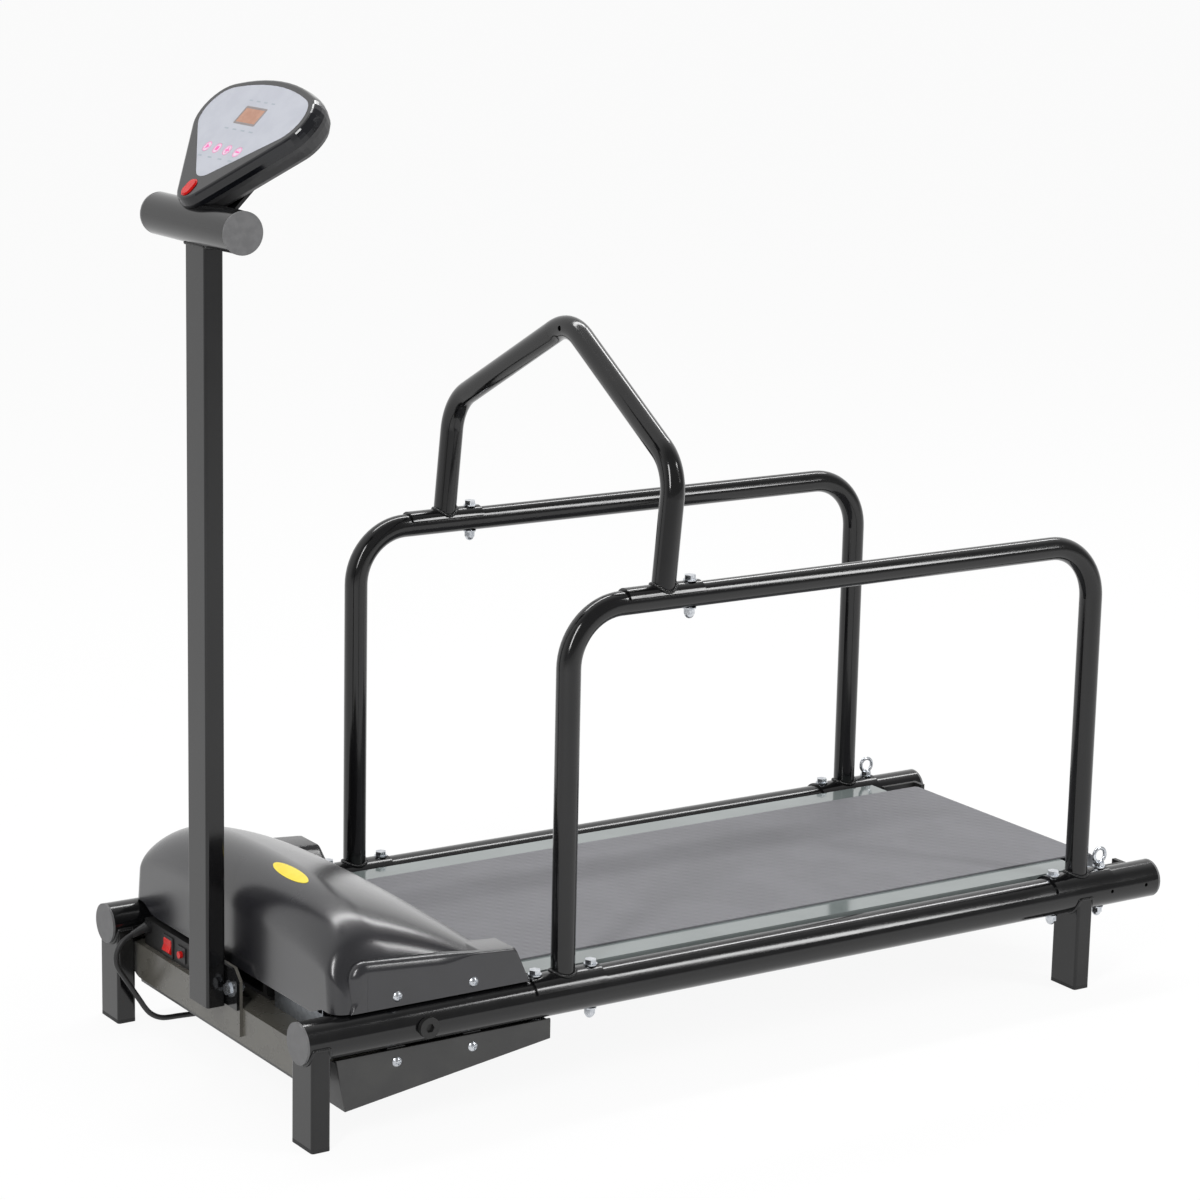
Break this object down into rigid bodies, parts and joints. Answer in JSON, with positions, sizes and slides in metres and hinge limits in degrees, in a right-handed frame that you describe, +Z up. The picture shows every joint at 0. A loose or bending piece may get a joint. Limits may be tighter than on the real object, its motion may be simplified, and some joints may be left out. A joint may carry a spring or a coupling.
{
  "type": "dog treadmill",
  "caption": "Walking treadmill for dogs: endless belt between round tube rails, side guard rails with a leash arch, moulded motor hood and a leaning console on an upright post.",
  "frame": {"origin": "on the floor, under the middle of the bounding box", "axes": "+X from the console end to the rear end of the belt, +Y towards the side of the switch panel and the lead, +Z up"},
  "size_m": [1.3214, 0.575, 1.2101],
  "materials": {
    "gloss_black_paint": "gloss black powder coat",
    "satin_black_paint": "satin black paint",
    "zinc_steel": "bright zinc plate",
    "bearing_steel": "ground steel",
    "cast_aluminium": "machined cast aluminium",
    "moulded_hood_plastic": "glossy moulded plastic",
    "painted_pan_sheet": "satin dark grey paint",
    "grey_cap_plastic": "moulded grey plastic",
    "black_rubber": "matte black rubber",
    "cord_rubber": "satin black cable jacket",
    "belt_pvc": "textured grey belting",
    "deck_laminate": "glossy dark laminate on board",
    "switch_plastic": "moulded black plastic",
    "red_plastic": "moulded red plastic",
    "console_shell_plastic": "moulded dark plastic",
    "console_gloss_plastic": "glossy black plastic",
    "face_film": "printed pale blue-grey film",
    "display_film": "tinted display film",
    "key_film": "domed rose film",
    "circuit_board": "green circuit board"
  },
  "bodies": {
    "frame": {"left_side_rail": "gloss_black_paint", "right_side_rail": "gloss_black_paint", "tube_end_caps": "grey_cap_plastic", "front_legs": "gloss_black_paint", "rear_legs": "gloss_black_paint", "leg_feet": "black_rubber", "front_apron": "gloss_black_paint", "deck_cross_tubes": "satin_black_paint", "deck_cushions": "black_rubber", "deck_board": "deck_laminate", "running_belt": "belt_pvc", "front_axle": "zinc_steel", "axle_bolts": "satin_black_paint", "rear_axle": "zinc_steel", "rear_axle_brackets": "satin_black_paint", "tension_bolts": "zinc_steel", "motor_body": "satin_black_paint", "motor_cradle": "satin_black_paint", "drive_belt": "black_rubber", "motor_controller": "cast_aluminium", "motor_hood": "moulded_hood_plastic", "lower_pan": "painted_pan_sheet", "cover_tabs": "gloss_black_paint", "cover_screws": "zinc_steel", "switch_panel": "satin_black_paint", "switch_housing": "switch_plastic", "breaker_housing": "switch_plastic", "cord_gland": "cord_rubber", "power_cord": "cord_rubber", "cord_coil": "cord_rubber", "mains_plug": "cord_rubber", "upright_post": "gloss_black_paint", "post_bolts": "zinc_steel", "handle_bar": "gloss_black_paint", "console_back_shell": "console_shell_plastic", "console_bezel": "console_gloss_plastic", "console_overlay": "face_film", "display_window": "display_film", "console_board": "circuit_board", "console_bracket": "gloss_black_paint", "console_screws": "zinc_steel", "left_guard_rail": "gloss_black_paint", "right_guard_rail": "gloss_black_paint", "guard_bolts": "zinc_steel", "arch_tube": "gloss_black_paint", "arch_bolts": "zinc_steel"},
    "drive_roller": {"drive_roller": "zinc_steel", "drive_roller_bearings": "bearing_steel", "roller_pulley": "cast_aluminium"},
    "rear_roller": {"rear_roller": "zinc_steel", "rear_roller_bearings": "bearing_steel"},
    "motor_rotor": {"motor_shaft": "zinc_steel", "motor_pulley": "cast_aluminium"},
    "power_rocker": {"power_rocker": "red_plastic"},
    "breaker_button": {"breaker_button": "red_plastic"},
    "start_key": {"start_key": "key_film"},
    "mode_key": {"mode_key": "key_film"},
    "faster_key": {"faster_key": "key_film"},
    "slower_key": {"slower_key": "key_film"},
    "safety_key": {"safety_key": "red_plastic"}
  },
  "joints": [
    {"name": "drive_roller_spin", "type": "hinge", "parent": "frame", "child": "drive_roller", "pos_m": [-0.4853, 0, 0.129], "axis": [0, 1, 0], "continuous": true},
    {"name": "rear_roller_spin", "type": "hinge", "parent": "frame", "child": "rear_roller", "pos_m": [0.6057, 0, 0.129], "axis": [0, 1, 0], "continuous": true},
    {"name": "motor_spin", "type": "hinge", "parent": "frame", "child": "motor_rotor", "pos_m": [-0.5423, 0, 0.165], "axis": [0, 1, 0], "continuous": true},
    {"name": "rocker_tip", "type": "hinge", "parent": "frame", "child": "power_rocker", "pos_m": [-0.5983, 0.16, 0.1195], "axis": [0, 1, 0], "range_deg": [-18, 0]},
    {"name": "breaker_press", "type": "slide", "parent": "frame", "child": "breaker_button", "axis": [1, 0, 0], "range_m": [0, 0.0015], "stiffness_N_per_m": 800},
    {"name": "start_press", "type": "slide", "parent": "frame", "child": "start_key", "axis": [0.7071, 0, -0.7071], "range_m": [0, 0.0008], "stiffness_N_per_m": 500},
    {"name": "mode_press", "type": "slide", "parent": "frame", "child": "mode_key", "axis": [0.7071, 0, -0.7071], "range_m": [0, 0.0008], "stiffness_N_per_m": 500},
    {"name": "faster_press", "type": "slide", "parent": "frame", "child": "faster_key", "axis": [0.7071, 0, -0.7071], "range_m": [0, 0.0008], "stiffness_N_per_m": 500},
    {"name": "slower_press", "type": "slide", "parent": "frame", "child": "slower_key", "axis": [0.7071, 0, -0.7071], "range_m": [0, 0.0008], "stiffness_N_per_m": 500},
    {"name": "safety_pull", "type": "slide", "parent": "frame", "child": "safety_key", "axis": [-0.7071, 0, 0.7071], "range_m": [0, 0.03]}
  ],
  "couplings": [
    {"joint": "rear_roller_spin", "follows": "drive_roller_spin", "ratio": 1},
    {"joint": "motor_spin", "follows": "drive_roller_spin", "ratio": 2.7692}
  ]
}
